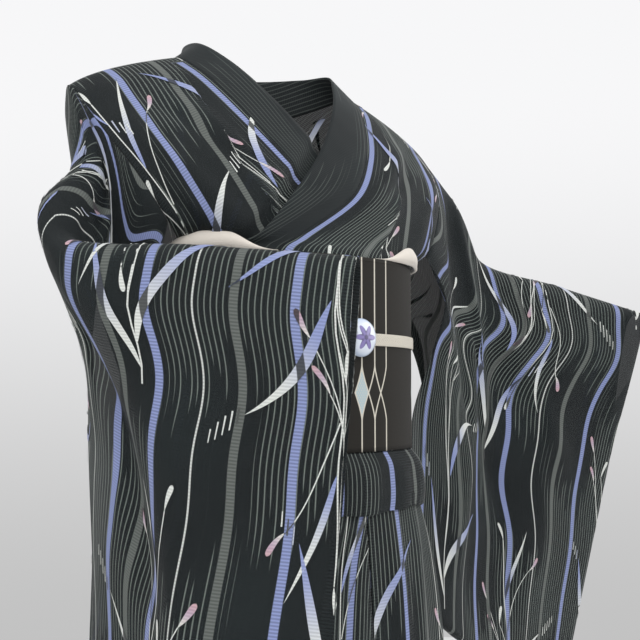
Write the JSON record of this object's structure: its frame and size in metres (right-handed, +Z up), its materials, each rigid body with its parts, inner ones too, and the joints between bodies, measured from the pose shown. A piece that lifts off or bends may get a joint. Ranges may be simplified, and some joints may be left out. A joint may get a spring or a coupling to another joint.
{
  "type": "summer kimono",
  "caption": "Long T-shaped wrap dress of thin see-through striped cloth with hanging sleeves, worn left over right and held by a wide belt, scarf, cord and glass brooch.",
  "frame": {"origin": "middle of the shoulder line, between the two points where the collar crosses the shoulders, where the wearer's shoulders hold the garment", "axes": "+X to the wearer's left, -Y the way the wearer faces, +Z up"},
  "size_m": [0.8095, 0.3877, 1.3382],
  "materials": {
    "kimono_cloth": "thin see-through ribbed weave, near black, striped",
    "belt_cloth": "fine matt weave, dark brown, with cream lines",
    "scarf_cloth": "soft pale crepe",
    "cord": "flat braid, cream",
    "glass": "polished pale lavender glass"
  },
  "bodies": {
    "root": {"body_panel_right": "kimono_cloth", "body_panel_left": "kimono_cloth", "collar": "kimono_cloth", "sleeve_right": "kimono_cloth", "sleeve_left": "kimono_cloth", "skirt_back_right": "kimono_cloth", "skirt_back_left": "kimono_cloth", "skirt_front_right": "kimono_cloth", "overlap_right": "kimono_cloth", "skirt_front_left": "kimono_cloth", "overlap_left": "kimono_cloth", "waist_tuck": "kimono_cloth", "belt_band": "belt_cloth", "belt_end": "belt_cloth", "belt_cord": "cord", "scarf_right": "scarf_cloth", "scarf_left": "scarf_cloth", "brooch": "glass"}
  },
  "joints": []
}
